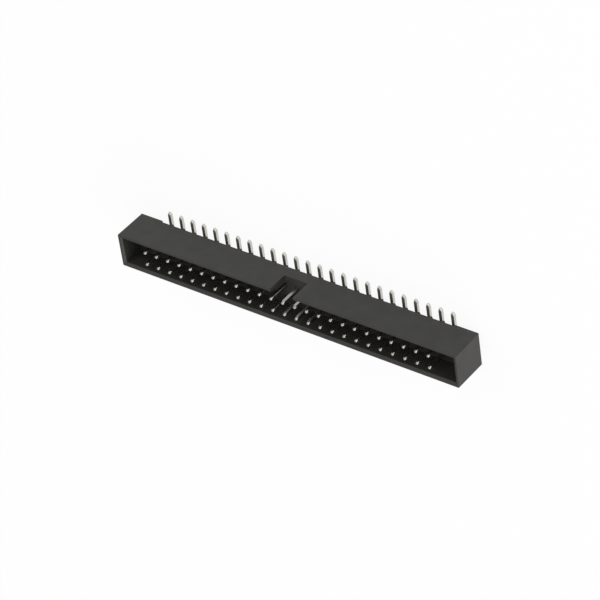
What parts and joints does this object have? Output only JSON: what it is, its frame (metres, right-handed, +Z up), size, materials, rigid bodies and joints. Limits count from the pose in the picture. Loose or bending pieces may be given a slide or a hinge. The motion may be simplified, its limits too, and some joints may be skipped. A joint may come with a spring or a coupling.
{
  "type": "surface-mount idc box header",
  "caption": "Long shrouded two-row box header for a flat cable socket: open top, key slot in one long wall, grooved base, and wire contacts bent into flat tails that stand on a circuit board.",
  "frame": {"origin": "middle of the two rows of tails, on the plane that the tails stand on", "axes": "+X along the rows of contacts, +Y towards the wall with the key slot, +Z up out of the open cavity"},
  "size_m": [0.0572, 0.0078, 0.0068],
  "materials": {
    "housing": "black moulded plastic, fine matt grain with a faint sheen",
    "contacts": "tin-plated copper alloy wire, satin silver"
  },
  "bodies": {
    "root": {"housing": "housing", "contact_01": "contacts", "contact_02": "contacts", "contact_03": "contacts", "contact_04": "contacts", "contact_05": "contacts", "contact_06": "contacts", "contact_07": "contacts", "contact_08": "contacts", "contact_09": "contacts", "contact_10": "contacts", "contact_11": "contacts", "contact_12": "contacts", "contact_13": "contacts", "contact_14": "contacts", "contact_15": "contacts", "contact_16": "contacts", "contact_17": "contacts", "contact_18": "contacts", "contact_19": "contacts", "contact_20": "contacts", "contact_21": "contacts", "contact_22": "contacts", "contact_23": "contacts", "contact_24": "contacts", "contact_25": "contacts", "contact_26": "contacts", "contact_27": "contacts", "contact_28": "contacts", "contact_29": "contacts", "contact_30": "contacts", "contact_31": "contacts", "contact_32": "contacts", "contact_33": "contacts", "contact_34": "contacts", "contact_35": "contacts", "contact_36": "contacts", "contact_37": "contacts", "contact_38": "contacts", "contact_39": "contacts", "contact_40": "contacts", "contact_41": "contacts", "contact_42": "contacts", "contact_43": "contacts", "contact_44": "contacts", "contact_45": "contacts", "contact_46": "contacts", "contact_47": "contacts", "contact_48": "contacts", "contact_49": "contacts", "contact_50": "contacts"}
  },
  "joints": []
}
